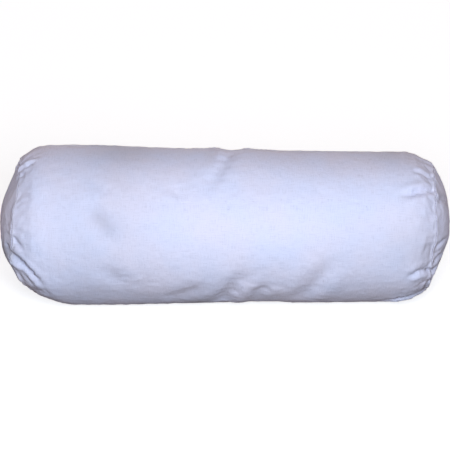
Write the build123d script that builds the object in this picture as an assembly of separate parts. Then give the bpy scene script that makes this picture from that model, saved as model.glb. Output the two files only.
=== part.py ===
from build123d import *

import math
import os

# Bolster pillow: a sewn cotton tube with a round end panel at each end, stuffed with polyester fibre.
#
# The long axis runs along X and the pillow rests on the plane Z = 0, so that its lowest skin is pressed flat.
# All the seams are plain seams turned to the inside. A lockstitch has a needle thread on one side of the
# cloth and a bobbin thread on the other, each of them one continuous thread, and the raw edges are overlocked
# together. The long seam lies at the back, just past the top. It was left open in the middle for stuffing,
# and is closed there by hand with a zigzag of thread.

# Driving dimensions, in millimetres and degrees
END_SEAM_X = 240.0  # from the middle of the pillow to the plane of each end seam
CROWN = 21.0  # how far the middle of an end panel stands out past its seam
FULL_RADIUS = 92.5  # radius of the stuffed tube along its fuller left part
FULL_FROM = -190.0  # where that part begins, after the left shoulder
FULL_TO = -100.0  # where it begins to taper
WAIST_RADIUS = 87.3  # radius along the slimmer right part
WAIST_FROM = 10.0  # where the taper ends
WAIST_TO = 196.0  # where the right shoulder begins
SHOULDER_DROP = 17.0  # how much radius a shoulder loses as it draws in to its end seam
AXIS_HEIGHT = 83.0  # height of the axis above the surface, less than the radius because the skin flattens
CLOTH = 0.5  # thickness of the cotton
ALLOWANCE = 10.0  # width of a seam allowance, turned in
SEAM_ANGLE = 122.0  # place of the long seam, from the front (-Y) over the top (+Z)
SLIT = 0.1  # gap between the two turned edges at the long seam
FILL_GAP = 0.3  # between the filling and the cloth

# Sewing
THREAD_RADIUS = 0.2
THREAD_SIDES = 8  # of a straight thread's section: spun thread is a little squashed where it lies
THREAD_GAP = 0.02  # a thread lies this far off the cloth
STITCH_DEPTH = 3.5  # from the skin to the line of machine stitching
OPENING_X = (-48.0, 62.0)  # the stuffing opening in the long seam
CLOSING_PITCH = 5.0  # along the seam, from one hand stitch to the next
CLOSING_SPAN = 3.0  # across the seam
CLOSING_BEND = 1.0  # radius of the thread's turns
OVERLOCK_BITE = 3.5  # how far the overlocking reaches in from the raw edge
OVERLOCK_THICK = 0.25

# Working values
TIP_X = END_SEAM_X + CROWN
FIN_END = END_SEAM_X - 2.0  # the long seam's allowances stop short of the end seams' stitching
THREAD_END = FIN_END - 4.0
THREAD_STEP = 20.0  # longest distance between two points of a thread's route
MARGIN = 1.0  # how far a cutting tool passes the faces that it cuts
HEADROOM = 40.0  # radial reach of a cutting tool past the skin
SLOT_SIDE = 1.3  # clearance that the filling leaves beside the allowances
SLOT_WIDTH = CLOTH + SLOT_SIDE  # from a seam's plane to the filling, either side
WIDE = 3 * TIP_X


def sag(run, length, drop):
    """How far an arc that starts level, and falls by drop over a length, has fallen after a shorter run."""
    radius = (length**2 + drop**2) / (2 * drop)
    return radius - math.sqrt(radius**2 - run**2)


def skin_radius(x):
    """Outer radius of the stuffed tube at a place along its axis."""
    middle = (FULL_TO + WAIST_FROM) / 2
    half_run = middle - FULL_TO
    half_drop = (FULL_RADIUS - WAIST_RADIUS) / 2
    if x < FULL_FROM:
        return FULL_RADIUS - sag(FULL_FROM - x, END_SEAM_X + FULL_FROM, SHOULDER_DROP)
    if x < FULL_TO:
        return FULL_RADIUS
    if x < middle:
        return FULL_RADIUS - sag(x - FULL_TO, half_run, half_drop)
    if x < WAIST_FROM:
        return WAIST_RADIUS + sag(WAIST_FROM - x, half_run, half_drop)
    if x < WAIST_TO:
        return WAIST_RADIUS
    return WAIST_RADIUS - sag(x - WAIST_TO, END_SEAM_X - WAIST_TO, SHOULDER_DROP)


def end_radius(side):
    """Radius of the end seam on one side, -1 for left and 1 for right."""
    return skin_radius(side * END_SEAM_X)


def stations(start, stop, count):
    """Evenly spaced places along the axis, both ends included."""
    return [start + (stop - start) * i / count for i in range(count + 1)]


def upright(shape):
    """Lifts a shape modelled about the X axis to the height of the pillow's axis."""
    return Pos(0, 0, AXIS_HEIGHT) * shape


def turned(outline):
    """A solid of revolution about the pillow's axis from an outline in the XY plane."""
    return upright(revolve(make_face(outline), Axis.X))


def skin_arc(start, stop, inset):
    """The part of the tube's outline between two places on its axis, as one arc."""
    places = (start, (start + stop) / 2, stop)
    return ThreePointArc(*[(x, skin_radius(x) - inset) for x in places])


def tube(inset, reach=0.0):
    """The solid inside the stuffed tube, smaller by inset all round and longer by reach at both ends."""
    end = END_SEAM_X
    middle = (FULL_TO + WAIST_FROM) / 2
    full, waist = FULL_RADIUS - inset, WAIST_RADIUS - inset
    skin = skin_arc(-end, FULL_FROM, inset) + Line((FULL_FROM, full), (FULL_TO, full))
    skin += skin_arc(FULL_TO, middle, inset) + skin_arc(middle, WAIST_FROM, inset)
    skin += Line((WAIST_FROM, waist), (WAIST_TO, waist)) + skin_arc(WAIST_TO, end, inset)
    left, right = end_radius(-1) - inset, end_radius(1) - inset
    inner = [(end, 0), (-end, 0)]
    if reach:
        inner = [(end + reach, right), (end + reach, 0), (-end - reach, 0), (-end - reach, left)]
    return turned(skin + Polyline((end, right), *inner, (-end, left)))


def dome(side, inset):
    """The solid inside one end panel's crown, smaller by inset."""
    seam, rim, tip = side * END_SEAM_X, end_radius(side) - inset, CROWN - inset
    ball = (rim**2 + tip**2) / (2 * tip)
    mid_angle = math.asin(rim / ball) / 2
    centre = seam + side * (tip - ball)
    middle = (centre + side * ball * math.cos(mid_angle), ball * math.sin(mid_angle))
    crown = ThreePointArc((seam, rim), middle, (seam + side * tip, 0))
    return turned(crown + Polyline((seam + side * tip, 0), (seam, 0), (seam, rim)))


def ring(x_from, x_to, r_from, r_to):
    """A flat ring about the pillow's axis."""
    width = abs(x_to - x_from)
    disc = Cylinder(r_to, width) - Cylinder(r_from, width)
    return upright(Pos((x_from + x_to) / 2, 0, 0) * Rot(0, 90, 0) * disc)


def at_seam(shape):
    """Turns a shape modelled at the top of the pillow's axis to the long seam."""
    return upright(Rot(90 - SEAM_ANGLE, 0, 0) * shape)


def seam_blade(half_length, thickness, r_from, r_to):
    """A thin radial plate along the long seam."""
    return at_seam(Pos(0, 0, (r_from + r_to) / 2) * Box(2 * half_length, thickness, r_to - r_from))


def above(height):
    """Everything over a height."""
    return Pos(0, 0, height + WIDE / 2) * Box(WIDE, WIDE, WIDE)


def body_panel():
    """The rectangle of cotton, rolled to a tube, with its edges turned in at the long seam and both ends."""
    panel = (tube(0) & above(0)) - (tube(CLOTH, MARGIN) & above(CLOTH))
    for side in (-1, 1):
        seam, rim = side * END_SEAM_X, end_radius(side)
        panel += ring(seam - side * CLOTH, seam, rim - ALLOWANCE, rim - CLOTH / 2)
    fins = seam_blade(FIN_END, 2 * CLOTH + SLIT, 0, FULL_RADIUS + HEADROOM)
    panel += fins & (tube(CLOTH / 2) - tube(ALLOWANCE, MARGIN))
    slit_foot = WAIST_RADIUS - SHOULDER_DROP - ALLOWANCE - MARGIN
    return panel - seam_blade(TIP_X, SLIT, slit_foot, FULL_RADIUS + HEADROOM)


def end_panel(side):
    """A round of cotton crowned by the filling, with its edge turned in at the end seam."""
    seam, rim = side * END_SEAM_X, end_radius(side)
    panel = dome(side, 0) - dome(side, CLOTH)
    return panel + ring(seam, seam + side * CLOTH, rim - ALLOWANCE, rim - CLOTH / 2)


def filling():
    """The polyester fibre, pressed into every part of the cover and round the turned-in edges."""
    gap = CLOTH + FILL_GAP
    fibre = (tube(gap) + dome(-1, gap) + dome(1, gap)) & above(gap)
    for side in (-1, 1):
        seam, rim = side * END_SEAM_X, end_radius(side)
        inner = rim - ALLOWANCE - SLOT_SIDE
        fibre -= ring(seam - side * SLOT_WIDTH, seam + side * SLOT_WIDTH, inner, rim + HEADROOM)
    slot = seam_blade(END_SEAM_X, 2 * SLOT_WIDTH, 0, FULL_RADIUS + HEADROOM)
    return fibre - (slot - tube(ALLOWANCE + SLOT_SIDE, MARGIN))


def thread_along(route):
    """Thread swept along a route."""
    section = RegularPolygon(THREAD_RADIUS, THREAD_SIDES)
    return sweep(Plane(origin=route @ 0, z_dir=route % 0) * section, path=route)


def end_seam_thread(side, face):
    """One thread of an end seam's lockstitch: face -1 for the needle thread or 1 for the bobbin thread."""
    off_seam = CLOTH + THREAD_GAP + THREAD_RADIUS
    x = side * (END_SEAM_X + face * off_seam)
    loop = Torus(end_radius(side) - STITCH_DEPTH, THREAD_RADIUS)
    return upright(Pos(x, 0, 0) * Rot(0, 90, 0) * loop)


def long_seam_thread(face):
    """One thread of the long seam's lockstitch, face -1 for the needle thread or 1 for the bobbin thread.

    It is in two stretches, one either side of the stuffing opening.
    """
    off_seam = face * (CLOTH + SLIT / 2 + THREAD_GAP + THREAD_RADIUS)
    stretches = []
    for start, stop in ((-THREAD_END, OPENING_X[0]), (OPENING_X[1], THREAD_END)):
        places = stations(start, stop, math.ceil((stop - start) / THREAD_STEP))
        route = Spline(*[(x, off_seam, skin_radius(x) - STITCH_DEPTH) for x in places])
        stretches.append(at_seam(thread_along(route)))
    return Compound(stretches)


def closing_thread():
    """The hand stitches that close the stuffing opening, as one zigzag of thread over the seam."""
    first, last = OPENING_X
    height = THREAD_RADIUS + THREAD_GAP
    crossings = round((last - first) / CLOSING_PITCH)
    points = [
        (x, (-1) ** i * CLOSING_SPAN / 2, skin_radius(x) + height)
        for i, x in enumerate(stations(first, last, crossings))
    ]
    return at_seam(thread_along(FilletPolyline(*points, radius=CLOSING_BEND)))


def end_overlock(side):
    """The overlocking that wraps the raw edges of both layers of an end seam, as one U-shaped band."""
    raw_edge = end_radius(side) - ALLOWANCE
    half = CLOTH + OVERLOCK_THICK
    seam = side * END_SEAM_X
    layers = CLOTH + THREAD_GAP
    band = ring(seam - half, seam + half, raw_edge - OVERLOCK_THICK, raw_edge + OVERLOCK_BITE)
    return band - ring(seam - layers, seam + layers, raw_edge - THREAD_GAP, raw_edge + OVERLOCK_BITE + MARGIN)


def long_overlock():
    """The overlocking along the raw edges of the long seam, as one U-shaped band."""
    layers = CLOTH + SLIT / 2 + THREAD_GAP
    band = seam_blade(THREAD_END, 2 * (layers + OVERLOCK_THICK), 0, FULL_RADIUS + HEADROOM)
    band &= tube(ALLOWANCE - OVERLOCK_BITE) - tube(ALLOWANCE + OVERLOCK_THICK, MARGIN)
    core = seam_blade(TIP_X, 2 * layers, 0, FULL_RADIUS + HEADROOM)
    return band - (core - tube(ALLOWANCE + THREAD_GAP, MARGIN))


def save(node, shape):
    """Writes one sub-part to its own file."""
    export_step(shape, f"parts/{node}.step")


os.makedirs("parts", exist_ok=True)
save("body_panel", body_panel())
save("fibre_filling", filling())
for side, name in ((-1, "left"), (1, "right")):
    save(f"end_panel_{name}", end_panel(side))
    save(f"end_seam_needle_thread_{name}", end_seam_thread(side, -1))
    save(f"end_seam_bobbin_thread_{name}", end_seam_thread(side, 1))
    save(f"end_seam_overlock_{name}", end_overlock(side))
save("long_seam_needle_thread", long_seam_thread(-1))
save("long_seam_bobbin_thread", long_seam_thread(1))
save("long_seam_overlock", long_overlock())
save("closing_thread", closing_thread())
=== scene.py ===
import math

import bpy
import numpy as np
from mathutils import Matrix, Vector, noise


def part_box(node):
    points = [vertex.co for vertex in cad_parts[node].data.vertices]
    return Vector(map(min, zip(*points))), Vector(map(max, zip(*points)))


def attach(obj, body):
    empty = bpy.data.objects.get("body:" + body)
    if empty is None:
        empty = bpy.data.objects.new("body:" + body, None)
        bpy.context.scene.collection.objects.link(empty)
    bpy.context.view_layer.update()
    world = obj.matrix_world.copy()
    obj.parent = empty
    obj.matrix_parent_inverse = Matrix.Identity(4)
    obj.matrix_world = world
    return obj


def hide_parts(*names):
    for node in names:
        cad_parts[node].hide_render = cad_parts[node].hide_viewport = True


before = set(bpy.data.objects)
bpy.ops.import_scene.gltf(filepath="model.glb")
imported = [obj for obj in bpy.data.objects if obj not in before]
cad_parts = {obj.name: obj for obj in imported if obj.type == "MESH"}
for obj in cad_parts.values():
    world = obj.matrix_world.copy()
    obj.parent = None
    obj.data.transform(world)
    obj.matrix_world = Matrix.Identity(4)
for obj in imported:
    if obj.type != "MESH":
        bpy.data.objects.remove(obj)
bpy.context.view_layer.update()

MM = 0.001
DEG = math.pi / 180

# ---- measures from the frame, in metres
body_low, body_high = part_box("body_panel")
SEAM_X = body_high[0]  # plane of each end seam
TIP_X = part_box("end_panel_right")[1][0]  # furthest point of each crowned end
FULL_RADIUS = (body_high[1] - body_low[1]) / 2  # of the fuller left part
AXIS_Z = body_high[2] - FULL_RADIUS  # the skin is pressed flat below this
WAIST_RADIUS = FULL_RADIUS - 5.2 * MM  # of the slimmer right part
TAPER = (-150 * MM, 20 * MM)  # along X, where the fuller part becomes the slimmer one
AXIS_DROP = 1.8 * MM  # the slimmer part lies this much lower
SEAM_ANGLE = 122 * DEG  # the long seam, from the front (-Y) over the top (+Z)
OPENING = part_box("closing_thread")[0][0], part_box("closing_thread")[1][0]  # along X, closed by hand
CLOTH = 0.45 * MM  # thickness of the cotton

# ---- the camera and the stage
AIM = Vector((0, 0, AXIS_Z))
CAMERA_ELEVATION = 30  # degrees
CAMERA_DISTANCE = 3.2
SENSOR_WIDTH = 36
FRAME_FILL = 449 / 450  # of the picture's width
LIGHTS = [  # name, azimuth and elevation in degrees, distance, size, power and colour
    ("key", 3, 31, 1.2, 0.42, 13.6, (0.87, 0.935, 1.0)),
    ("overhead", 10, 80, 2.4, 2.0, 4, (1.0, 0.64, 0.5)),
    ("rear_fill", 180, 7, 2.4, 0.9, 16, (1.0, 0.87, 0.79)),
    ("left_fill", -120, 9, 2.4, 0.9, 11, (1.0, 0.95, 0.96)),
    ("right_fill", 120, 9, 2.4, 0.9, 11, (1.0, 0.95, 0.96)),
]
SKY_COLOUR, SKY_STRENGTH = (1.0, 0.77, 0.73, 1), 0.15
FLOOR_HALF = 30.0  # half of its width
FLOOR_COLOUR = (0.5, 0.505, 0.51, 1)
GLOW_COLOUR, GLOW_STRENGTH = (0.97, 0.985, 1.0, 1), 0.76  # of the floor


def towards(azimuth, elevation, distance):
    """A place seen from AIM in a direction: azimuth 0 is the front, and grows to the right."""
    a, e = math.radians(azimuth), math.radians(elevation)
    return AIM + distance * Vector((math.sin(a) * math.cos(e), -math.cos(a) * math.cos(e), math.sin(e)))


def facing_aim(name, data, place):
    item = bpy.data.objects.new(name, data)
    bpy.context.scene.collection.objects.link(item)
    item.location = place
    item.rotation_euler = (AIM - place).to_track_quat("-Z", "Y").to_euler()
    return item


def add_camera():
    data = bpy.data.cameras.new("camera")
    data.sensor_width = SENSOR_WIDTH
    data.lens = SENSOR_WIDTH * CAMERA_DISTANCE / (2 * TIP_X) * FRAME_FILL
    bpy.context.scene.camera = facing_aim("camera", data, towards(0, CAMERA_ELEVATION, CAMERA_DISTANCE))


def add_light(name, azimuth, elevation, distance, size, power, colour):
    data = bpy.data.lights.new(name, "AREA")
    data.size = size
    data.energy = power
    data.color = colour
    facing_aim(name, data, towards(azimuth, elevation, distance))


def set_inputs(node, **values):
    for name, value in values.items():
        node.inputs[name.replace("_", " ")].default_value = value


def add_stage():
    world = bpy.data.worlds.new("studio")
    world.use_nodes = True
    set_inputs(world.node_tree.nodes["Background"], Color=SKY_COLOUR, Strength=SKY_STRENGTH)
    scene = bpy.context.scene
    scene.world = world
    scene.view_settings.view_transform = "Standard"
    for light in LIGHTS:
        add_light(*light)
    corners = [(FLOOR_HALF * x, FLOOR_HALF * y, 0) for x, y in ((-1, -1), (1, -1), (1, 1), (-1, 1))]
    mesh = bpy.data.meshes.new("floor")
    mesh.from_pydata(corners, [], [(0, 1, 2, 3)])
    floor = bpy.data.objects.new("floor", mesh)
    scene.collection.objects.link(floor)
    floor.visible_diffuse = False  # so it throws no light back up under the pillow
    floor.visible_glossy = False
    material = bpy.data.materials.new("floor_white")
    material.use_nodes = True
    paint = material.node_tree.nodes["Principled BSDF"]
    set_inputs(paint, Base_Color=FLOOR_COLOUR, Roughness=0.95)
    set_inputs(paint, Emission_Color=GLOW_COLOUR, Emission_Strength=GLOW_STRENGTH)
    mesh.materials.append(material)


# ---- small helpers
def smooth_step(x, start, stop):
    t = np.clip((x - start) / (stop - start), 0, 1)
    return t * t * (3 - 2 * t)


def bell(x, width):
    return np.exp(-((x / width) ** 2))


def unit(v):
    return v / np.maximum(np.linalg.norm(v, axis=-1, keepdims=True), 1e-9)


def inward(points):
    """Directions from points on the skin straight to the pillow's axis."""
    flat = points - np.array([0, 0, AXIS_Z])
    flat = flat * np.array([0, 1, 1])
    return -unit(flat)


def angle_gap(angle, middle):
    return np.abs((angle - middle + math.pi) % (2 * math.pi) - math.pi)


def angle_of(points):
    """Angle round the pillow's axis, from the front (-Y) over the top."""
    return np.arctan2(points[..., 2] - AXIS_Z, -points[..., 1])


def rough(points, scale, seed):
    """Smooth noise between about -1 and 1, for each point."""
    offset = Vector((seed * 13.7, seed * 5.3, seed * 9.1))
    flat = points.reshape(-1, 3) / scale
    return np.array([noise.noise(Vector(p) + offset) for p in flat.tolist()]).reshape(points.shape[:-1])


# ---- the cover before it is stuffed
COLUMNS = 128  # round the tube
ROWS = 84  # along it
GRADING = 0.45  # 0 spaces the rows evenly, and more draws them towards the ends
CELLS = COLUMNS // 4  # across the square grid of an end panel
SLANTS = {-1: (27 * MM, -62 * DEG, 0.62), 1: (7 * MM, -60 * DEG, 0.6)}  # seams: how far, where, how wide
SLANT_RUN = 90 * MM  # the tube follows a slant over this distance


def plain_radius(x):
    """Radius of the stuffed tube, away from its ends."""
    return FULL_RADIUS + (WAIST_RADIUS - FULL_RADIUS) * smooth_step(x, *TAPER)


def around(x, angle, radius):
    """Points at an angle round the pillow's axis, from the front over the top."""
    return np.stack([x + 0 * angle, -radius * np.cos(angle), AXIS_Z + radius * np.sin(angle)], axis=-1)


def slant(side, angle):
    """How far an end seam strays in from its plane, low at the front, where the cover is cut askew."""
    depth, middle, width = SLANTS[side]
    return depth * bell(angle_gap(angle, middle), width)


def square_to_disc(a, b):
    """Maps the square from -1 to 1 onto the unit disc, keeping its cells nearly even."""
    wide = np.abs(a) >= np.abs(b)
    long_side = np.where(wide, a, b)
    ratio = np.divide(np.where(wide, b, a), long_side, out=np.zeros_like(a), where=long_side != 0)
    turn = np.where(wide, math.pi / 4 * ratio, math.pi / 2 - math.pi / 4 * ratio)
    return long_side * np.cos(turn), long_side * np.sin(turn)


def disc_to_square(radius, angle):
    """The way back from the disc to the square."""
    quarter = np.floor((angle + math.pi / 4) / (math.pi / 2)).astype(int)
    other = radius * (angle - quarter * math.pi / 2) / (math.pi / 4)
    a = np.choose(quarter % 4, [radius, -other, -radius, other])
    b = np.choose(quarter % 4, [other, radius, -other, -radius])
    return a, b


class Cover:
    """The sewn cover as one mesh: a tube of ROWS + 1 by COLUMNS points, and a square grid across each end."""

    def __init__(self):
        u = np.linspace(-1, 1, ROWS + 1)
        along = SEAM_X * ((1 - GRADING) * u + GRADING * np.sin(math.pi / 2 * u))
        angle = np.arange(COLUMNS) * 2 * math.pi / COLUMNS
        x, a = np.meshgrid(along, angle, indexing="ij")
        points = around(x, a, plain_radius(x))
        for side in (-1, 1):
            points[..., 0] -= side * slant(side, a) * smooth_step(side * x, SEAM_X - SLANT_RUN, SEAM_X)
        self.tube = np.arange((ROWS + 1) * COLUMNS).reshape(ROWS + 1, COLUMNS)
        self.points = [points.reshape(-1, 3)]
        self.count = self.tube.size
        self.ends = {side: self.end_grid(side) for side in (-1, 1)}
        self.points = np.concatenate(self.points)

    def end_grid(self, side):
        ticks = np.linspace(-1, 1, CELLS + 1)
        p, q = square_to_disc(*np.meshgrid(ticks, ticks, indexing="ij"))
        angle, radius = np.arctan2(q, p), np.hypot(p, q)
        column = np.round(angle / (2 * math.pi) * COLUMNS).astype(int) % COLUMNS
        grid = self.tube[0 if side < 0 else ROWS][column]
        inner = np.zeros_like(radius, dtype=bool)
        inner[1:-1, 1:-1] = True
        grid[inner] = self.count + np.arange(inner.sum())
        self.count += int(inner.sum())
        x = side * (SEAM_X - slant(side, angle) * radius**2)
        self.points.append(around(x, angle, radius * plain_radius(side * SEAM_X))[inner])
        return grid

    def faces(self):
        tube = np.concatenate([self.tube, self.tube[:, :1]], axis=1)
        quads = [grid_faces(tube)]
        for side, grid in self.ends.items():
            quads.append(grid_faces(grid)[:, ::-1] if side > 0 else grid_faces(grid))
        return np.concatenate(quads)


def grid_faces(index):
    """Quads between the neighbours of a grid of vertex numbers."""
    corners = [index[:-1, :-1], index[1:, :-1], index[1:, 1:], index[:-1, 1:]]
    return np.stack(corners, axis=-1).reshape(-1, 4)


STUFFING_PRESSURE = 80
GATHER = 0.13  # the end panels are this much smaller than the tube, whose edge is gathered on to them
STUFFING_FRAMES = 18
START_JITTER = 0.4 * MM


def stuffed(cover):
    """Cloth simulation: the cover is blown up from the inside, and gathers on to its end panels."""
    rng = np.random.default_rng(11)
    start = cover.points + rng.normal(0, START_JITTER, cover.points.shape)
    mesh = bpy.data.meshes.new("cover_sim")
    mesh.from_pydata(start.tolist(), [], cover.faces().tolist())
    piece = bpy.data.objects.new("cover_sim", mesh)
    bpy.context.scene.collection.objects.link(piece)
    group = piece.vertex_groups.new(name="gathered")
    for grid in cover.ends.values():
        group.add(np.unique(grid).tolist(), 1.0, "REPLACE")
    cloth = piece.modifiers.new("cloth", "CLOTH")
    cloth.collision_settings.use_collision = False
    cloth.point_cache.frame_start = 1
    cloth.point_cache.frame_end = STUFFING_FRAMES
    settings = cloth.settings
    settings.quality = 6
    settings.mass = 0.15
    settings.tension_stiffness = settings.compression_stiffness = 60
    settings.shear_stiffness = 20
    settings.bending_stiffness = 0.8
    settings.tension_damping = settings.compression_damping = settings.shear_damping = 5
    settings.air_damping = 2
    settings.use_pressure = True
    settings.uniform_pressure_force = STUFFING_PRESSURE
    settings.vertex_group_shrink = group.name
    settings.shrink_max = GATHER
    settings.effector_weights.gravity = 0
    for step in range(1, STUFFING_FRAMES + 1):
        bpy.context.scene.frame_set(step)
    final = piece.evaluated_get(bpy.context.evaluated_depsgraph_get()).to_mesh()
    points = np.empty(len(final.vertices) * 3)
    final.vertices.foreach_get("co", points)
    bpy.context.scene.frame_set(1)
    bpy.data.objects.remove(piece)
    bpy.data.meshes.remove(mesh)
    return points.reshape(-1, 3)


CROWN_GAP = 0.5 * MM  # kept between each tip and the end of the frame
PUCKER_KEPT = 0.36  # share of the simulated puckers that stays
EASE_WIDTH, EASE_REACH = 4.0, 9  # columns over which the tube's puckers are eased
EASE_ROUNDS = 14  # of easing on the end panels


def calmed(cover, points):
    """The stuffed cover with its sharpest puckers eased, so that few and soft ones stay."""
    points = points.copy()
    offsets = np.arange(-EASE_REACH, EASE_REACH + 1)
    weights = bell(offsets, EASE_WIDTH)
    weights /= weights.sum()
    grid = points[cover.tube]
    eased = sum(w * np.roll(grid, k, axis=1) for k, w in zip(offsets, weights))
    points[cover.tube] = eased + PUCKER_KEPT * (grid - eased)
    for index in cover.ends.values():
        before = points[index]
        eased = before.copy()
        for _ in range(EASE_ROUNDS):
            middle = eased[:-2, 1:-1] + eased[2:, 1:-1] + eased[1:-1, :-2] + eased[1:-1, 2:]
            eased[1:-1, 1:-1] = middle / 4
        kept = eased + PUCKER_KEPT * (before - eased)
        points[index[1:-1, 1:-1]] = kept[1:-1, 1:-1]
    return points


def fitted(cover, points):
    """The stuffed cover drawn out to the length that the frame gives."""
    points = calmed(cover, points)
    for side, row in ((-1, 0), (1, ROWS)):
        reach = side * points[:, 0]
        rim = np.mean(np.sort(side * points[cover.tube[row], 0])[COLUMNS // 4 :])
        tip = reach.max()
        body_scale = SEAM_X / rim
        crown_scale = (TIP_X - CROWN_GAP - SEAM_X) / (tip - rim)
        outside = np.maximum(reach - rim, 0)
        near = np.clip(reach, 0, rim)
        points[:, 0] += side * (near * (body_scale - 1) + outside * (crown_scale - 1))
    return moulded(points)


LEAN_END = 240 * MM
LEFT_LEANS = [  # along X, of the left seam: how far, at what height, over what height, and from what place on
    (6.5 * MM, 52 * MM, 27 * MM, 212 * MM),
    (-4.2 * MM, -40 * MM, 28 * MM, 215 * MM),
]
RIGHT_LEAN, RIGHT_LEAN_FROM = 4.0 * MM, 215 * MM  # of the right seam, at the bottom
TOP_FULLER = 3.2 * MM  # about the middle
UNDER_FULLER = 5.4 * MM  # under the left end
SIDES_AT = (-55 * DEG, 235 * DEG)  # where the floor pushes the filling out
SIDES_BULGE, SIDES_BULGE_LESS = 2.4 * MM, 0.8 * MM  # by how much, and how much less along the slimmer part


def moulded(points):
    """The pillow's own unevenness. Height is measured square to the camera's view, from the axis."""
    x = points[:, 0].copy()
    tilt = CAMERA_ELEVATION * DEG
    height = (points - np.array([0, 0, AXIS_Z])) @ np.array([0, math.sin(tilt), math.cos(tilt)])
    for shift, middle, reach, start in LEFT_LEANS:
        points[:, 0] += shift * bell(height - middle, reach) * smooth_step(-x, start, LEAN_END)
    lean = smooth_step(-height, 8 * MM, 32 * MM) * (1 - 0.55 * smooth_step(-height, 45 * MM, 65 * MM))
    points[:, 0] -= RIGHT_LEAN * lean * smooth_step(x, RIGHT_LEAN_FROM, LEAN_END)
    points[:, 2] -= AXIS_DROP * smooth_step(x, *TAPER)
    outward = -inward(points)
    top = bell(x - 20 * MM, 70 * MM) * smooth_step(height, 40 * MM, 85 * MM)
    under = bell(x + 222 * MM, 28 * MM) * smooth_step(-height, 50 * MM, 85 * MM)
    points += outward * (TOP_FULLER * top)[:, None]
    points += outward * (UNDER_FULLER * under)[:, None]
    sides = sum(bell(angle_gap(angle_of(points), middle), 0.33) for middle in SIDES_AT)
    bulge = SIDES_BULGE - SIDES_BULGE_LESS * smooth_step(x, *TAPER)
    bulge = bulge * smooth_step(-np.abs(x), -225 * MM, -170 * MM)
    points += outward * (bulge * sides)[:, None]
    return points


# ---- smooth sampling of the simulated grids
def cubic_weights(t):
    """Weights of the four neighbours of a place between the middle two, for a Catmull-Rom curve."""
    before, here = (-t + 2 * t**2 - t**3) / 2, (2 - 5 * t**2 + 3 * t**3) / 2
    there, after = (t + 4 * t**2 - 3 * t**3) / 2, (t**3 - t**2) / 2
    return before, here, there, after


def sample(grid, row, column, wraps):
    """Points of a grid at fractional rows and columns. A tube's grid wraps round."""
    rows, columns = grid.shape[:2]
    i = np.clip(np.floor(row).astype(int), 0, rows - 2)
    j = np.floor(column).astype(int)
    if not wraps:
        j = np.clip(j, 0, columns - 2)
    row_weights, column_weights = cubic_weights(row - i), cubic_weights(column - j)
    total = 0
    for di, row_weight in enumerate(row_weights):
        ii = i + di - 1
        low, high = ii < 0, ii > rows - 1
        ii = np.clip(ii, 0, rows - 1)
        for dj, column_weight in enumerate(column_weights):
            jj = j + dj - 1
            jj = jj % columns if wraps else np.clip(jj, 0, columns - 1)
            value = grid[ii, jj]
            mirror = 2 * grid[np.where(low, 0, rows - 1), jj] - grid[np.where(low, 1, rows - 2), jj]
            value = np.where((low | high)[..., None], mirror, value)
            total = total + (row_weight * column_weight)[..., None] * value
    return total


class Skin:
    """The stuffed cover as two kinds of smooth surface: tube(along, angle) and end(side, out, angle)."""

    def __init__(self, cover, points):
        self.grid = points[cover.tube]
        self.end_grids = {side: points[grid] for side, grid in cover.ends.items()}
        steps = np.linalg.norm(np.diff(self.grid, axis=0), axis=-1).mean(axis=1)
        self.run = np.concatenate([[0], np.cumsum(steps)])
        self.length = self.run[-1]
        self.girth = 2 * math.pi * WAIST_RADIUS

    def tube(self, along, angle):
        """along is the distance from the left seam over the skin."""
        row = np.interp(along, self.run, np.arange(ROWS + 1))
        return sample(self.grid, row, angle / (2 * math.pi) * COLUMNS, wraps=True)

    def rim(self, side, angle):
        along = np.full_like(angle, 0 if side < 0 else self.length)
        return self.tube(along, angle)

    def end(self, side, out, angle):
        """out runs from 0 in the middle of an end panel to 1 at its seam."""
        grid = self.end_grids[side]

        def square(radius):
            a, b = disc_to_square(radius, angle)
            return sample(grid, (a + 1) / 2 * CELLS, (b + 1) / 2 * CELLS, wraps=False)

        to_rim = self.rim(side, angle) - square(np.ones_like(out))
        return square(out) + to_rim * smooth_step(out, 0.8, 1.0)[..., None]


def normals(surface, u, v, out_from):
    """Outward normals of a surface of two parameters, by small differences."""
    step = 0.002
    across = surface(u + step, v) - surface(u - step, v)
    along = surface(u, v + step) - surface(u, v - step)
    n = unit(np.cross(across, along))
    wrong = np.sum(n * out_from, axis=-1) < 0
    return np.where(wrong[..., None], -n, n)


# ---- folds, dents and puckers
RISE_AT = 2.2  # a crease's rises stand this many widths away from its line
RISE_WIDTH = 1.2  # of each rise, in widths of the crease
FADE = 0.45  # share of a crease's length over which an end of it fades


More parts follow.
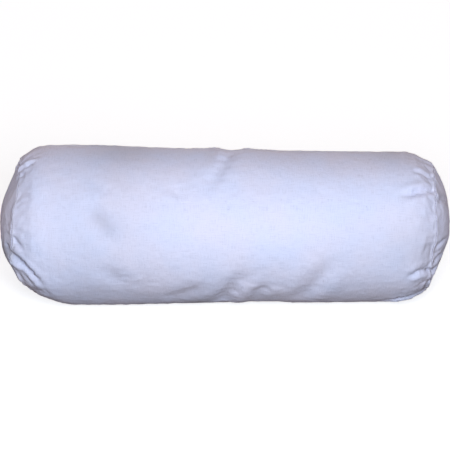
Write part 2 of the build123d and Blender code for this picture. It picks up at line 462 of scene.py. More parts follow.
class Crease:
    """A valley on the skin along a path of (x in mm, angle in degrees) points, with a rise on either side.

    Widths and heights are in mm. ends says how far each end of the path fades: 0 not at all, 1 all the way.
    """

    def __init__(self, path, width, depth, rise=(0, 0), ends=(1, 1)):
        self.path, self.width, self.depth = path, width, depth
        self.rise, self.ends = rise, ends

    def line(self, skin_points):
        """The path as points in space, every few millimetres, on the skin."""
        t = np.linspace(0, len(self.path) - 1, 6 * len(self.path))
        curve = (np.array(self.path) * [MM, DEG])[:, None]
        curve = sample(np.repeat(curve, 2, axis=1), t, np.zeros_like(t), wraps=True)
        skin_angle = angle_of(skin_points)
        line = []
        for cx, ca in curve:
            gap = (skin_points[:, 0] - cx) ** 2 + (0.08 * angle_gap(skin_angle, ca)) ** 2
            line.append(skin_points[np.argsort(gap)[:3]].mean(axis=0))
        return np.array(line)

    def lift(self, points, line):
        """How far each point of the skin moves out along its normal, in metres."""
        width = self.width * MM
        margin = (RISE_AT + 3.2) * width
        near = np.all((points > line.min(axis=0) - margin) & (points < line.max(axis=0) + margin), axis=1)
        total = np.zeros(len(points))
        if not near.any():
            return total
        points = points[near]
        starts, runs = line[:-1], np.diff(line, axis=0)
        rel = points[:, None] - starts
        t = np.clip(np.sum(rel * runs, axis=-1) / np.maximum(np.sum(runs**2, axis=-1), 1e-12), 0, 1)
        off = rel - t[..., None] * runs
        distance = np.linalg.norm(off, axis=-1)
        best = distance.argmin(axis=1)
        pick = np.arange(len(points)), best
        distance, place = distance[pick], (best + t[pick]) / len(runs)
        hand = np.sum(np.cross(runs[best], off[pick]) * -inward(points), axis=-1)
        fade = 1 - self.ends[0] * (1 - smooth_step(place, 0, FADE))
        fade *= 1 - self.ends[1] * (1 - smooth_step(1 - place, 0, FADE))
        rise = np.where(hand > 0, *self.rise) * bell(distance - RISE_AT * width, RISE_WIDTH * width)
        total[near] = (rise - self.depth * bell(distance, width)) * MM * fade
        return total


NARROW = 5  # mm: creases under this width are too fine for the filling to follow
LEFT_FOLD = [(-249, 10), (-240, 4), (-233, 0), (-222, -6), (-214, -13), (-203, -25)]
LOWER_LEFT_FOLD = [(-242, 2), (-236, -2), (-232, -6), (-226, -13), (-218, -20), (-211, -29)]

# The first rise of a crease is to the left of its path as it runs, seen from outside.
CREASE_ROWS = [  # path, width, depth, rises, ends
    # upper left: puckers that run in from the seam
    ([(-239, 95), (-228, 89), (-213, 91)], 2.6, 1.8, (0.3, 1.8), (0.2, 1)),
    ([(-238, 82), (-227, 82), (-214, 84)], 2.4, 2.4, (1.6, 0.6), (0.2, 1)),
    ([(-238, 75), (-231, 75), (-220, 75)], 2.2, 1.2, (0.8, 0.3), (0.2, 1)),
    # lower left: the cloth folds over beside the seam
    (LEFT_FOLD, 3.0, 6.0, (1.6, 2.4), (0.6, 1)),
    (LOWER_LEFT_FOLD, 2.6, 1.6, (0.4, 1.0), (0.6, 1)),
    ([(-239, 19), (-233, 14), (-225, 8)], 2.2, 2.0, (0.5, 0.3), (0.2, 1)),
    # soft dents in the stuffing, left
    ([(-164, 52), (-152, 43), (-139, 32), (-126, 21), (-113, 10)], 11.5, 4.6, (1.8, 0.6)),
    ([(-142, 66), (-131, 52), (-116, 38)], 6, 1.8, (0.8, 1.6)),
    ([(-138, 2), (-126, -10), (-116, -24)], 9, 2.4, (0.8, 0.8)),
    ([(-70, -44), (-50, -34), (-34, -27), (-10, -20)], 10, 2.8, (0.9, 0.6)),
    # under the middle: diagonal folds that rise from the underside
    ([(-8, -49), (-3, -42), (13, -18), (40, -2)], 9, 4.2, (0.8, 2.2)),
    ([(32, -45), (38, -31), (50, -14)], 6, 3.0, (0.6, 1.6), (0.8, 1)),
    ([(80, -46), (90, -34), (111, -8), (134, 8)], 9, 3.0, (0.7, 1.5)),
    ([(16, -60), (46, -63), (82, -61)], 13, 2.6, (0, 0)),
    # the closed stuffing opening draws the cloth in
    ([(9, 113), (7, 102), (0, 83), (-12, 67), (-27, 54)], 6, 3.2, (0.6, 1.5), (0.7, 1)),
    ([(-24, 116), (-20, 106), (-13, 87), (-8, 76)], 5, 1.3, (0.8, 0.5), (0.5, 1)),
    ([(-2, 122), (7, 119), (16, 121)], 5.5, 4.2, (0, 0), (0.6, 0.6)),
    ([(6, 124), (2, 134), (6, 150), (16, 168)], 6, 2.4, (0.7, 0.5), (0.4, 1)),
    ([(12, 124), (24, 133), (42, 141)], 5, 2.0, (0.4, 0.6), (0.4, 1)),
    ([(2, 124), (-10, 131), (-28, 137)], 5, 1.8, (0.6, 0.4), (0.4, 1)),
    ([(-62, 62), (-55, 55), (-52, 44)], 5, 1.6, (0.4, 1.0)),
    # right: puckers beside the seam
    ([(198, 51), (208, 54), (219, 57), (237, 62)], 3.6, 3.8, (1.9, 1.2), (1, 0.1)),
    ([(212, 77), (223, 76), (238, 79)], 3.0, 2.0, (0.8, 0.5), (1, 0.2)),
    ([(203, -15), (216, -10), (227, -10), (239, -17)], 3.2, 3.4, (0.8, 2.0), (1, 0.2)),
    ([(228, -42), (232, -28), (238, -20)], 2.4, 2.6, (0.8, 1.0), (0.5, 0.3)),
    ([(172, -55), (190, -48), (206, -43), (220, -41), (235, -45)], 2.8, 5.2, (1.0, 2.6), (1, 0.4)),
    # right end panel
    ([(239, 55), (246, 57), (257, 75)], 2.6, 2.4, (1.4, 0.3), (0.2, 1)),
    ([(240, 8), (246, 11), (255, 11)], 2.4, 2.6, (0.9, 0.9), (0.1, 0.8)),
    ([(238, -9), (243, -6), (251, -8)], 2.4, 2.2, (0.8, 1.0), (0.1, 0.8)),
    # the back: gathers of the same kind
    ([(-239, 150), (-226, 147), (-208, 143)], 2.8, 2.8, (1.2, 0.8), (0.2, 1)),
    ([(-239, 196), (-228, 198), (-213, 203)], 2.8, 2.6, (0.9, 1.2), (0.2, 1)),
    ([(-239, 236), (-225, 233), (-210, 228)], 3.0, 3.2, (1.3, 0.9), (0.2, 1)),
    ([(239, 141), (226, 144), (210, 150)], 2.8, 2.8, (1.0, 1.2), (0.2, 1)),
    ([(239, 184), (228, 181), (214, 177)], 2.8, 2.6, (1.2, 0.8), (0.2, 1)),
    ([(239, 228), (225, 233), (207, 240)], 3.0, 3.4, (0.9, 1.4), (0.2, 1)),
    ([(-120, 206), (-92, 188), (-66, 172)], 11, 2.8, (1.0, 0.7)),
    ([(60, 226), (88, 206), (120, 192)], 10, 2.8, (0.8, 1.2)),
    ([(38, 127), (42, 140), (36, 160)], 6, 2.2, (0.9, 0.7)),
    ([(-34, 127), (-38, 141), (-30, 158)], 6, 2.0, (0.7, 0.9)),
]
CREASES = [Crease(*row) for row in CREASE_ROWS]


BROAD_LUMPS, SMALL_LUMPS = 1.0 * MM, 0.2 * MM  # heights of the stuffing's unevenness


def creased(points, lines):
    """Sum of the lifts of all the creases, with the soft unevenness of the stuffing."""
    flat = points.reshape(-1, 3)
    lift = sum(crease.lift(flat, line) for crease, line in zip(CREASES, lines))
    lift = lift.reshape(points.shape[:-1])
    return lift + BROAD_LUMPS * rough(points, 80 * MM, 1) + SMALL_LUMPS * rough(points, 26 * MM, 2)


PAINTED_CREASE_SHADE = 0.2  # painted shade: how much darker the cloth is painted in the deepest creases
PAINTED_SHADE_PATCHES = [  # patches of painted shade on the cloth: x in mm, angle, reach in mm and share
    (-135, 26, 62, 0.1), (214, 12, 34, 0.16), (150, 15, 40, 0.05), (-248, 4, 11, 0.45),
    (-243, -12, 12, 0.2), (-228, -20, 12, 0.22), (-30, -50, 24, 0.28), (42, -36, 17, 0.16),
    (212, -38, 12, 0.2), (-118, 100, 40, 0.18), (195, 106, 32, 0.14), (251, 66, 12, 0.2),
    (251, -14, 12, 0.25), (237, -32, 10, 0.18),
]


def painted_shade_at(points, lift):
    """How much painted shade darkens the cloth at each point, from 0 to 1, in the creases and in the patches.
    """
    grey = PAINTED_CREASE_SHADE * smooth_step(-lift, 1.0 * MM, 6.0 * MM)
    angle = angle_of(points)
    for x, middle, reach, share in PAINTED_SHADE_PATCHES:
        off = np.hypot(points[..., 0] - x * MM, WAIST_RADIUS * angle_gap(angle, middle * DEG))
        grey = grey + share * bell(off, reach * MM)
    return grey


def pressed_on_floor(points):
    """The lowest skin is pressed flat, with a soft turn where it leaves the floor."""
    soft = 2.2 * MM
    z = points[..., 2]
    flat = np.where(z < 30 * soft, soft * np.log1p(np.exp(np.minimum(z, 30 * soft) / soft)), z)
    return np.stack([points[..., 0], points[..., 1], flat], axis=-1)


# ---- the turned edges at a seam
RIDGE = 1.45 * MM  # height of the rolled edge
RIDGE_AT = 1.7 * MM  # its distance from the seam line
NOTCH = 0.7 * MM  # depth of the line between two rolled edges
LONG_SEAM_SHARE = 0.55  # the long seam's edges roll up less
PANEL_SHARE = 0.5  # and so does the edge of an end panel
PLY_GAP = 0.3 * MM  # from the seam's plane to the face of each turned-in ply
GIRTH_MARGIN = 0.03 * MM  # keeps a place on the girth off its exact ends, where it would wrap
SEAM_STEPS = np.array([0, 0.35, 0.8, 1.4, 2.1, 3.0, 4.2, 5.6]) * MM  # distances of the rows beside a seam
TURN_STEPS = np.array([10, 6.5, 3.2, 1.1]) * MM  # how far in the rows of a turned-in allowance lie


def rolled_edge(d):
    """Height of the skin at a distance from a seam, where it rolls over its own turned-in allowance."""
    return RIDGE * (d / RIDGE_AT) * np.exp(1 - d / RIDGE_AT) - NOTCH * np.exp(-d / (0.5 * MM))


def stitch_pucker(angle, distance):
    """Small uneven puckers that the stitches draw along an end seam."""
    turn = np.stack([np.cos(angle), np.sin(angle), 0 * angle], axis=-1)
    return 0.38 * MM * rough(turn, 0.16, 3) * bell(distance - 3 * MM, 7 * MM)


SEAM_LEAN = 0.7  # how far the shared direction leans out along X
CREASE_TURN = 8 * MM  # distance over which creases turn to that direction
EDGE_TURN = 0.8 * MM  # and rolled edges


def raised(base, slope, side, from_seam, lift, edges):
    """The skin raised by creases and rolled edges, in a direction that both panels share at an end seam."""
    shared = -inward(base)
    shared[..., 0] += SEAM_LEAN * side
    shared = unit(shared)
    points = base
    for height, reach in ((lift, CREASE_TURN), (edges, EDGE_TURN)):
        turned = unit(slope + bell(from_seam, reach)[..., None] * (shared - slope))
        points = points + turned * height[..., None]
    return pressed_on_floor(points)


class Sewn:
    """The cover's finished surface: the stuffed skin with creases, rolled edges and a flat underside."""

    def __init__(self, skin):
        self.skin = skin
        grids = [skin.grid, *skin.end_grids.values()]
        skin_points = np.concatenate([grid.reshape(-1, 3) for grid in grids])
        self.lines = [crease.line(skin_points) for crease in CREASES]

    def tube(self, along, girth):
        """along runs from the left seam, and girth from the long seam round over the top to it again."""
        return self.tube_and_lift(along, girth)[0]

    def tube_and_lift(self, along, girth):
        """The same points, with how far the creases lift each of them."""
        skin = self.skin
        angle = SEAM_ANGLE + girth / skin.girth * 2 * math.pi
        base = skin.tube(along, angle)
        slope = normals(skin.tube, np.clip(along, 3 * MM, skin.length - 3 * MM), angle, -inward(base))
        from_end = np.minimum(along, skin.length - along)
        from_seam = np.minimum(girth % skin.girth, -girth % skin.girth)
        pucker = stitch_pucker(angle, from_end) + 0.3 * MM * rough(base, 9 * MM, 5) * bell(from_seam, 9 * MM)
        edges = rolled_edge(from_end) + LONG_SEAM_SHARE * rolled_edge(from_seam) + pucker
        lift = creased(base, self.lines)
        side = np.where(along < skin.length / 2, -1.0, 1.0)
        return raised(base, slope, side, from_end, lift, edges), lift

    def end(self, side, distance, angle):
        """distance runs from an end seam to the middle of its panel."""
        return self.end_and_lift(side, distance, angle)[0]

    def end_and_lift(self, side, distance, angle):
        out = 1 - distance / PANEL_RADIUS
        base = self.skin.end(side, out, angle)
        outward = np.array([float(side), 0, 0]) - inward(base) * out[..., None]
        slope = normals(lambda u, v: self.skin.end(side, u, v), np.clip(out, 0.01, 0.995), angle, outward)
        share = 1 - (1 - PANEL_SHARE) * smooth_step(distance, 0, RIDGE_AT)
        edges = share * rolled_edge(distance) + stitch_pucker(angle, distance)
        lift = creased(base, self.lines)
        return raised(base, slope, side, distance, lift, edges), lift

    def rim(self, side, angle):
        """The seam line between an end panel and the body panel."""
        girth = (angle - SEAM_ANGLE) % (2 * math.pi) / (2 * math.pi) * self.skin.girth
        along = np.full_like(angle, 0 if side < 0 else self.skin.length)
        return self.tube(along, np.clip(girth, 2 * MM, self.skin.girth - 2 * MM))

    def stand_back(self, points):
        """How far the filling keeps away from the skin under the narrow creases."""
        flat = points.reshape(-1, 3)
        back = np.zeros(len(flat))
        for crease, line in zip(CREASES, self.lines):
            if crease.width < NARROW:
                wider = Crease(crease.path, crease.width + 4, 0.7 * crease.depth, ends=crease.ends)
                back -= wider.lift(flat, line)
        return back.reshape(points.shape[:-1])

    def along_at(self, x):
        """The distance along the skin to a place x on the long seam."""
        along = np.linspace(0, self.skin.length, 400)
        return np.interp(x, self.skin.tube(along, np.full_like(along, SEAM_ANGLE))[:, 0], along)


def spaced(start, stop, fine, coarse, fine_reach):
    """Places between two ends: finely spaced near both and coarsely between."""
    places, at = [], start
    while at < stop - fine / 2:
        places.append(at)
        near = min(at - start, stop - at)
        at += fine + (coarse - fine) * float(smooth_step(near, fine_reach, 2 * fine_reach))
    return np.array(places)


def build_mesh(name, points, faces, material, weave=None, **values):
    """weave is each point's place on the flat cloth, and every other value is one number for each point."""
    mesh = bpy.data.meshes.new(name)
    mesh.from_pydata(points.tolist(), [], faces)
    mesh.shade_smooth()
    if weave is not None:
        layer = mesh.attributes.new("weave", "FLOAT_VECTOR", "POINT")
        layer.data.foreach_set("vector", weave.astype(np.float32).ravel())
    for key, numbers in values.items():
        layer = mesh.attributes.new(key, "FLOAT", "POINT")
        layer.data.foreach_set("value", numbers.astype(np.float32).ravel())
    mesh.materials.append(material)
    piece = bpy.data.objects.new(name, mesh)
    bpy.context.scene.collection.objects.link(piece)
    return piece


def thicken(piece):
    shell = piece.modifiers.new("cloth_thickness", "SOLIDIFY")
    shell.thickness = CLOTH
    shell.offset = -1


def seam_to_seam(length, *spacing):
    """Places from one seam to the next, and how far in each of them lies in the turned-in allowances."""
    last = SEAM_STEPS[-1]
    between = spaced(last, length - last, *spacing)[1:]
    places = np.concatenate([SEAM_STEPS, between, length - SEAM_STEPS[::-1]])
    turns = np.concatenate([TURN_STEPS, 0 * places, TURN_STEPS[::-1]])
    return np.pad(places, len(TURN_STEPS), mode="edge"), turns


def make_body(sewn, material):
    """The body panel: one rectangle of cloth, rolled up and turned in along all four edges."""
    length, girth = sewn.skin.length, sewn.skin.girth
    rows, row_turns = seam_to_seam(length, 1.6 * MM, 4.4 * MM, 28 * MM)
    columns, column_turns = seam_to_seam(girth, 2.1 * MM, 2.1 * MM, 1 * MM)
    a, g = np.meshgrid(rows, columns, indexing="ij")
    row_turn, column_turn = np.meshgrid(row_turns, column_turns, indexing="ij")

    points, lift = sewn.tube_and_lift(a, np.clip(g, GIRTH_MARGIN, girth - GIRTH_MARGIN))
    # painted shade of the creases and patches, kept on each point
    grey = painted_shade_at(points, lift)
    into = inward(points)
    points = points + into * np.maximum(row_turn, column_turn)[..., None]
    points[..., 0] += PLY_GAP * np.where(a < length / 2, 1, -1) * (row_turn > 0)
    sideways = np.cross([1, 0, 0], into)
    points += sideways * (PLY_GAP * np.where(g < girth / 2, -1, 1) * (column_turn > 0))[..., None]
    weave = np.stack([a - row_turn * np.where(a < length / 2, 1, -1), g + 0 * a, 0 * a], axis=-1)
    seam = np.minimum(np.minimum(a, length - a), np.minimum(g, girth - g))
    faces = grid_faces(np.arange(a.size).reshape(a.shape)).tolist()
    piece = build_mesh("cover_body", points.reshape(-1, 3), faces, material, weave, seam=seam, grey=grey)
    thicken(piece)
    return piece


def ring_faces(outer, inner):
    """Faces between two rings of vertex numbers, where the inner one has as many or half as many."""
    n = len(outer)
    if len(inner) == n:
        return [[outer[k], outer[(k + 1) % n], inner[(k + 1) % n], inner[k]] for k in range(n)]
    faces = []
    for k in range(len(inner)):
        a, b, c = outer[2 * k], outer[2 * k + 1], outer[(2 * k + 2) % n]
        d, e = inner[k], inner[(k + 1) % len(inner)]
        faces += [[a, b, d], [b, e, d], [b, c, e]]
    return faces


def fan(ring, pole):
    """Triangles from a ring of vertex numbers to one point."""
    return [[a, b, pole] for a, b in zip(ring, ring[1:] + ring[:1])]


PANEL_RADIUS = 77 * MM  # of an end panel laid flat, to its seam
PANEL_COLUMNS = 256


def make_end(side, name, sewn, material):
    """An end panel: a round of cloth with its edge turned in."""
    inner_steps = spaced(SEAM_STEPS[-1], PANEL_RADIUS, 1.7 * MM, 1.7 * MM, 1 * MM)[1:]
    steps = np.concatenate([SEAM_STEPS, inner_steps[:-1]])
    rings = [(0.0, turn) for turn in TURN_STEPS] + [(step, 0.0) for step in steps]
    points, weave, seam, grey, faces = [], [], [], [], []
    count, last, columns = 0, None, PANEL_COLUMNS
    for distance, turn in rings:
        radius = PANEL_RADIUS - distance
        while columns > 8 and 2 * math.pi * radius / columns < 1.1 * MM:
            columns //= 2
        angle = np.arange(columns) * 2 * math.pi / columns
        ring, lift = sewn.end_and_lift(side, np.full(columns, distance), angle)
        # painted shade of the creases and patches, kept on each point
        grey.append(painted_shade_at(ring, lift))
        ring = ring + inward(ring) * turn
        ring[:, 0] += side * PLY_GAP * (turn > 0)
        number = count + np.arange(columns)
        if last is not None:
            faces += ring_faces(last, number.tolist())
        last, count = number.tolist(), count + columns
        points.append(ring)
        weave.append((radius + turn) * np.stack([np.cos(angle), np.sin(angle), 0 * angle], axis=-1))
        seam.append(np.full(columns, distance))
    points.append(points[-1].mean(axis=0)[None])
    weave.append(np.zeros((1, 3)))
    seam.append(np.array([PANEL_RADIUS]))
    grey.append(grey[-1].mean(keepdims=True))
    faces += fan(last, count)
    if side > 0:
        faces = [face[::-1] for face in faces]
    points, weave, seam, grey = [np.concatenate(part) for part in (points, weave, seam, grey)]
    piece = build_mesh(name, points, faces, material, weave, seam=seam, grey=grey)
    thicken(piece)
    return piece


# ---- the filling
FILLING_INSET = 1.5 * MM
FILLING_STEP = 5 * MM
GROOVE = 10.5 * MM  # how much further in the filling stands where the turned-in edges press into it


def make_filling(sewn, material):
    """The fibre filling: one closed soft mass inside the cover, grooved by the turned-in edges."""
    skin = sewn.skin
    beside = np.array([2, 4, 6.5, 9]) * MM
    columns = spaced(beside[-1], skin.girth - beside[-1], FILLING_STEP, FILLING_STEP, 1)
    columns = np.concatenate([[0], beside[:-1], columns, skin.girth - beside[::-1]])
    from_long_seam = np.minimum(columns, skin.girth - columns)
    angle = SEAM_ANGLE + columns / skin.girth * 2 * math.pi
    near = np.array([0.8, 2.5, 4.5, 7, 10]) * MM
    across = np.concatenate([near, spaced(14 * MM, PANEL_RADIUS - 2 * MM, FILLING_STEP, FILLING_STEP, 1)])
    along = np.concatenate([near, spaced(15 * MM, skin.length - 12 * MM, FILLING_STEP, 7 * MM, 30 * MM)])
    along = np.concatenate([along, skin.length - near[::-1]])

    def inset(from_end, share):
        from_edge = np.minimum(from_end, np.where(share, from_long_seam, 1.0))
        return FILLING_INSET + GROOVE * bell(from_edge, 3.4 * MM)

    def end_rings(side):
        rings = []
        for distance in across:
            ring = sewn.end(side, np.full(len(angle), distance), angle)
            depth = inset(distance, False) + sewn.stand_back(ring)
            into = 0.7 * inward(ring) + np.array([-0.7 * side, 0, 0])
            rings.append(ring + into * depth[:, None])
        return rings

    rings = end_rings(-1)[::-1]
    for place in along:
        ring = sewn.tube(np.full(len(angle), place), columns)
        depth = inset(min(place, skin.length - place), True) + sewn.stand_back(ring)
        rings.append(ring + inward(ring) * depth[:, None])
    rings += end_rings(1)
    rings = np.stack(rings)
    lumps = 0.6 * MM * (1 + rough(rings, 14 * MM, 7)) + 0.3 * MM * (1 + rough(rings, 5 * MM, 8))
    rings = rings + inward(rings) * lumps[..., None]
    rings[..., 2] = np.maximum(rings[..., 2], FILLING_INSET)
    count = rings[..., 0].size
    index = np.arange(count).reshape(rings.shape[:2])
    wrapped = np.concatenate([index, index[:, :1]], axis=1)
    faces = grid_faces(wrapped).tolist()
    poles = np.stack([rings[0].mean(axis=0), rings[-1].mean(axis=0)])
    faces += fan(index[0].tolist(), count) + fan(index[-1][::-1].tolist(), count + 1)
    return build_mesh("filling", np.concatenate([rings.reshape(-1, 3), poles]), faces, material)


# ---- threads
THREAD_RADIUS = 0.22 * MM
STITCH = 3.0 * MM
STITCH_POINTS = 8  # of a thread's path, to each stitch
SEAM_DEPTH = 2.8 * MM  # of the stitch line under the notch between the rolled edges
PLY_FACE = PLY_GAP + CLOTH  # from the seam's plane to the far face of each ply
LOCK_GAP = 0.12 * MM  # kept between the two threads where they lock
OVERLOCK_STITCH = 2.8 * MM
OVERLOCK_POINTS = 12
OVERLOCK_FROM, OVERLOCK_TO = 6.6 * MM, 10.4 * MM  # under the notch
RIM_SHARE = 0.93  # of the slimmer part's girth that an end seam measures
PLIES = ("needle", -1), ("bobbin", 1)


def thread_mesh(name, path, radius, sides, closed, material):
    """A thread along a path, as a tube with capped ends, or as a ring."""
    if closed:
        ahead, behind = np.roll(path, -1, axis=0), np.roll(path, 1, axis=0)
    else:
        ahead, behind = np.vstack([path[1:], path[-1:]]), np.vstack([path[:1], path[:-1]])
    run = unit(ahead - behind)
    side = unit(np.cross(run, -inward(path)))
    top = np.cross(side, run)
    turn = np.arange(sides) * 2 * math.pi / sides
    ring = np.cos(turn)[:, None] * side[:, None] + np.sin(turn)[:, None] * top[:, None]
    points = path[:, None] + radius * ring
    index = np.arange(len(path) * sides).reshape(len(path), sides)
    wrapped = np.concatenate([index, index[:, :1]], axis=1)
    if closed:
        wrapped = np.concatenate([wrapped, wrapped[:1]])
    faces = grid_faces(wrapped)[:, ::-1].tolist()
    if not closed:
        faces += [index[0].tolist(), index[-1][::-1].tolist()]
    return build_mesh(name, points.reshape(-1, 3), faces, material)


def joined(name, pieces):
    """Several meshes made into one piece."""
    bpy.ops.object.select_all(action="DESELECT")
    for piece in pieces:
        piece.select_set(True)
    bpy.context.view_layer.objects.active = pieces[0]
    bpy.ops.object.join()
    pieces[0].name = name
    return pieces[0]


def lock(phase):
    """How far a lockstitch thread stands off the seam's plane: out on its ply, and in at each hole."""
    return LOCK_GAP + (PLY_FACE + THREAD_RADIUS) * np.abs(np.sin(math.pi * phase)) ** 0.45


def ring_route(sewn, side, stitch, points):
    """The line of an end seam with some points to a stitch, as the parts that a thread's path is made from.

    They are: if it is closed, the stitch that each point is in, the line, and the ways in and sideways.
    """
    count = round(2 * math.pi * WAIST_RADIUS * RIM_SHARE / stitch)
    phase = np.linspace(0, count, count * points, endpoint=False)
    line = sewn.rim(side, phase / count * 2 * math.pi)
    return True, phase, line, inward(line), np.array([side, 0.0, 0.0])


def long_route(sewn, start, stop, stitch, points):
    """The same for the long seam, between two places on it."""
    count = round((stop - start) / stitch)
    phase = np.linspace(0, count, count * points + 1)
    along = sewn.along_at(start + phase / count * (stop - start))
    line = sewn.tube(along, np.full(len(phase), GIRTH_MARGIN))
    return False, phase, line, inward(line), np.cross(inward(line), [1.0, 0, 0])


def lockstitch(name, route, ply, material):
    """One thread of a seam: ply is 1 on the side that its route points to, and -1 on the other."""
    closed, phase, line, into, sideways = route
    path = line + into * SEAM_DEPTH + sideways * (ply * lock(phase))[:, None]
    return thread_mesh(name, path, THREAD_RADIUS, 6, closed, material)


def overlock(name, route, material):
    """A thread looped round both raw edges of a seam."""
    closed, phase, line, into, sideways = route
    middle, half = (OVERLOCK_FROM + OVERLOCK_TO) / 2, (OVERLOCK_TO - OVERLOCK_FROM) / 2
    depth = middle + half * np.clip(1.25 * np.cos(2 * math.pi * phase), -1, 1)
    across = (PLY_FACE + THREAD_RADIUS) * np.clip(1.6 * np.sin(2 * math.pi * phase), -1, 1)
    path = line + into * depth[:, None] + sideways * across[:, None]
    return thread_mesh(name, path, THREAD_RADIUS, 5, closed, material)


WHIP_PITCH = 5 * MM
WHIP_REACH = 1.9 * MM  # of each hand stitch to either side of the long seam
# Places along a hand stitch: across the seam from -1 to 1, and height over the cloth in mm
WHIP_STEPS = [(-1, -0.9), (-1, 0.1), (-0.6, 0.28), (0, 0.28), (0.6, 0.28), (1, 0.1), (1, -0.9)]


def closing_thread(name, sewn, material):
    """Hand stitches that whip the stuffing opening shut over the long seam."""
    rng = np.random.default_rng(5)
    girth = sewn.skin.girth
    path = []
    for place in np.arange(OPENING[0], OPENING[1] - WHIP_PITCH / 2, WHIP_PITCH):
        start = place + rng.normal(0, 0.35 * MM)
        reach = WHIP_REACH * (1 + rng.normal(0, 0.1))
        for across, height in WHIP_STEPS:
            along = sewn.along_at(np.array([start + 0.8 * MM * (1 + across)]))
            if abs(across) == 1:
                base = sewn.tube(along, np.array([-across * reach % girth]))[0]
            else:
                base = sewn.tube(np.repeat(along, 2), np.array([RIDGE_AT, girth - RIDGE_AT])).mean(axis=0)
            path.append(base - inward(base) * height * MM)
    path = np.array(path)
    t = np.linspace(0, len(path) - 1, len(path) * 5)
    path = sample(np.repeat(path[:, None], 2, axis=1), t, np.zeros_like(t), wraps=True)
    return thread_mesh(name, path, 0.3 * MM, 6, False, material)


# ---- materials
class Shader:
    """A small wrapper for building node materials."""

    def __init__(self, name):
        self.material = bpy.data.materials.new(name)
        self.material.use_nodes = True
        self.tree = self.material.node_tree
        self.bsdf = self.tree.nodes["Principled BSDF"]
        self.place = self.node("ShaderNodeTexCoord").outputs["Object"]

    def node(self, kind, inputs=(), **settings):
        node = self.tree.nodes.new(kind)
        for key, value in settings.items():
            setattr(node, key, value)
        for key, value in dict(inputs).items():
            if isinstance(value, bpy.types.NodeSocket):
                self.tree.links.new(value, node.inputs[key])
            else:
                node.inputs[key].default_value = value
        return node

    def math(self, operation, *values):
        return self.node("ShaderNodeMath", enumerate(values), operation=operation).outputs[0]

    def stretched(self, vector, scale):
        return self.node("ShaderNodeVectorMath", {0: vector, 1: scale}, operation="MULTIPLY").outputs[0]

    def noise(self, vector, scale, detail=2.0, roughness=0.5):
        inputs = {"Vector": vector, "Scale": scale, "Detail": detail, "Roughness": roughness}
        return self.node("ShaderNodeTexNoise", inputs).outputs["Fac"]

    def ramp(self, factor, stops):
        node = self.node("ShaderNodeValToRGB", {"Fac": factor})
        elements = node.color_ramp.elements
        while len(elements) < len(stops):
            elements.new(0.5)
        for element, (place, colour) in zip(elements, stops):
            element.position, element.color = place, (*colour, 1)
        return node.outputs["Color"]

    def mixed(self, blend, factor, a, b):
        inputs = {0: factor, 6: a, 7: b}
        return self.node("ShaderNodeMix", inputs, data_type="RGBA", blend_type=blend).outputs[2]

    def bump(self, height, distance, under=None):
        inputs = {"Height": height, "Distance": distance, "Strength": 1.0}
        if under is not None:
            inputs["Normal"] = under
        return self.node("ShaderNodeBump", inputs).outputs["Normal"]

    def finish(self, colour, roughness, normal, **sockets):
        for name, value in (("Base Color", colour), ("Roughness", roughness), ("Normal", normal)):
            self.tree.links.new(value, self.bsdf.inputs[name])
        set_inputs(self.bsdf, **sockets)
        return self.material


THREAD_PITCH = 0.5 * MM  # of the plain weave


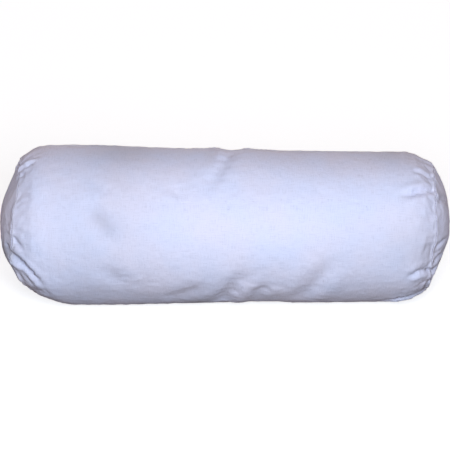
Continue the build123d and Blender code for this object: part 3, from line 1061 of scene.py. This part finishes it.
def cotton():
    """Plain-woven white cotton with slubs, a cool cast and faint warm patches, with painted shade in its
    creases, shade patches and seam lines, and a painted highlight on its rolled seam edges.
    """
    s = Shader("white_cotton")
    cloth = s.node("ShaderNodeAttribute", attribute_name="weave").outputs["Vector"]
    seam = s.node("ShaderNodeAttribute", attribute_name="seam").outputs["Fac"]
    # the painted shade of the creases and patches
    grey = s.node("ShaderNodeAttribute", attribute_name="grey").outputs["Fac"]

    axes = s.node("ShaderNodeSeparateXYZ", {0: cloth})
    turns = math.pi / THREAD_PITCH
    warp = s.math("SINE", s.math("MULTIPLY", axes.outputs[0], turns))
    weft = s.math("SINE", s.math("MULTIPLY", axes.outputs[1], turns))
    weave = s.math("MULTIPLY_ADD", s.math("MULTIPLY", warp, weft), 0.5, 0.5)

    along_slubs = s.noise(s.stretched(cloth, (90, 1300, 1)), 1.0, 3.0)
    cross_slubs = s.noise(s.stretched(cloth, (1300, 90, 1)), 1.0, 3.0)
    slubs = s.math("ADD", along_slubs, cross_slubs)
    crumple = s.noise(s.place, 110.0, 4.0, 0.6)
    patches = s.noise(s.place, 17.0, 3.0, 0.55)

    cast = s.ramp(patches, [(0.34, (0.70, 0.757, 0.985)), (0.66, (0.745, 0.757, 0.94))])
    grain = s.ramp(slubs, [(0.70, (0.87, 0.87, 0.88)), (1.22, (1.0, 1.0, 1.0))])
    colour = s.mixed("MULTIPLY", 1.0, cast, grain)
    gaps = s.ramp(weave, [(0.0, (0.93, 0.93, 0.94)), (0.55, (1.0, 1.0, 1.0))])
    colour = s.mixed("MULTIPLY", 1.0, colour, gaps)
    # painted shade: darker along each seam line, in the notch between its rolled edges
    from_seam = s.math("MULTIPLY", seam, 1 / MM)
    line = s.ramp(from_seam, [(0.15, (0.72, 0.7, 0.74)), (0.9, (1.0, 1.0, 1.0))])
    colour = s.mixed("MULTIPLY", 1.0, colour, line)
    # painted shade: the cloth is painted darker and browner in its creases and patches
    colour = s.mixed("MULTIPLY", grey, colour, (0.08, 0.05, 0.0, 1))
    # painted highlight: lighter and bluer along the crest of each rolled edge beside a seam
    painted_ridge_highlight = [(0.2, (0, 0, 0)), (0.36, (1, 1, 1)), (0.8, (0, 0, 0))]
    painted_ridge_highlight = s.ramp(s.math("MULTIPLY", seam, 1 / (4 * MM)), painted_ridge_highlight)
    colour = s.mixed("MIX", s.math("MULTIPLY", painted_ridge_highlight, 0.35), colour, (0.86, 0.88, 1.0, 1))

    roughness = s.math("MULTIPLY_ADD", slubs, 0.08, 0.82)
    normal = s.bump(crumple, 0.75 * MM)
    normal = s.bump(slubs, 0.2 * MM, normal)
    normal = s.bump(weave, 0.07 * MM, normal)
    sockets = {"Sheen_Weight": 0.12, "Sheen_Roughness": 0.45, "Specular_IOR_Level": 0.25}
    return s.finish(colour, roughness, normal, **sockets)


def sewing_thread(name, colour, twist):
    """Spun thread: its twist as fine slanting ridges, with a slight lustre."""
    s = Shader(name)
    inputs = {"Vector": s.place, "Scale": twist, "Distortion": 1.5}
    bands = s.node("ShaderNodeTexWave", inputs, bands_direction="DIAGONAL")
    fuzz = s.noise(s.place, 4000.0, 2.0)
    shade = s.ramp(bands.outputs["Fac"], [(0.1, tuple(0.82 * c for c in colour)), (0.7, colour)])
    roughness = s.math("MULTIPLY_ADD", fuzz, 0.2, 0.45)
    normal = s.bump(bands.outputs["Fac"], 0.05 * MM)
    return s.finish(shade, roughness, normal, Sheen_Weight=0.2)


def fibre():
    """Polyester fibre filling: fine tangled strands with soft hollows, painted darker as shade."""
    s = Shader("fibre_filling")
    strands = s.noise(s.stretched(s.place, (500, 2600, 2600)), 1.0, 5.0, 0.7)
    tufts = s.noise(s.place, 160.0, 4.0, 0.6)
    shade = s.ramp(strands, [(0.3, (0.74, 0.74, 0.75)), (0.65, (0.93, 0.93, 0.92))])
    # painted shade: darker in the hollows between the tufts
    painted_tuft_shade = s.ramp(tufts, [(0.3, (0.8, 0.8, 0.82)), (0.6, (1, 1, 1))])
    colour = s.mixed("MULTIPLY", 1.0, shade, painted_tuft_shade)
    roughness = s.math("MULTIPLY_ADD", strands, 0.1, 0.88)
    normal = s.bump(strands, 0.3 * MM, s.bump(tufts, 1.5 * MM))
    return s.finish(colour, roughness, normal, Sheen_Weight=0.3)


def place_piece(piece, slot, node):
    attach(piece, "root")
    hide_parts(node)


def soft(piece, slot, node):
    place_piece(piece, slot, node)


def make_pillow():
    cover = Cover()
    sewn = Sewn(Skin(cover, fitted(cover, stuffed(cover))))
    cloth, fill = cotton(), fibre()
    thread = sewing_thread("sewing_thread", (0.86, 0.87, 0.9), 1500.0)
    edging = sewing_thread("overlock_thread", (0.84, 0.84, 0.85), 1100.0)
    soft(make_body(sewn, cloth), "cotton", "body_panel")
    soft(make_filling(sewn, fill), "filling", "fibre_filling")
    for side, word in ((-1, "left"), (1, "right")):
        soft(make_end(side, "cover_end_" + word, sewn, cloth), "cotton", "end_panel_" + word)
        route = ring_route(sewn, side, STITCH, STITCH_POINTS)
        for kind, ply in PLIES:
            piece = lockstitch(f"{kind}_thread_{word}", route, ply, thread)
            place_piece(piece, "sewing_thread", f"end_seam_{kind}_thread_{word}")
        piece = overlock("overlock_" + word, ring_route(sewn, side, OVERLOCK_STITCH, OVERLOCK_POINTS), edging)
        place_piece(piece, "overlock_thread", "end_seam_overlock_" + word)
    spans = (-SEAM_X + 6 * MM, OPENING[0] - 2 * MM), (OPENING[1] + 2 * MM, SEAM_X - 6 * MM)
    routes = [long_route(sewn, *span, STITCH, STITCH_POINTS) for span in spans]
    for kind, ply in PLIES:
        halves = [lockstitch("half", route, ply, thread) for route in routes]
        place_piece(joined(f"long_{kind}_thread", halves), "sewing_thread", f"long_seam_{kind}_thread")
    route = long_route(sewn, -SEAM_X + 13 * MM, SEAM_X - 13 * MM, OVERLOCK_STITCH, OVERLOCK_POINTS)
    place_piece(overlock("long_overlock", route, edging), "overlock_thread", "long_seam_overlock")
    place_piece(closing_thread("closing_stitches", sewn, thread), "sewing_thread", "closing_thread")


add_camera()
add_stage()
make_pillow()
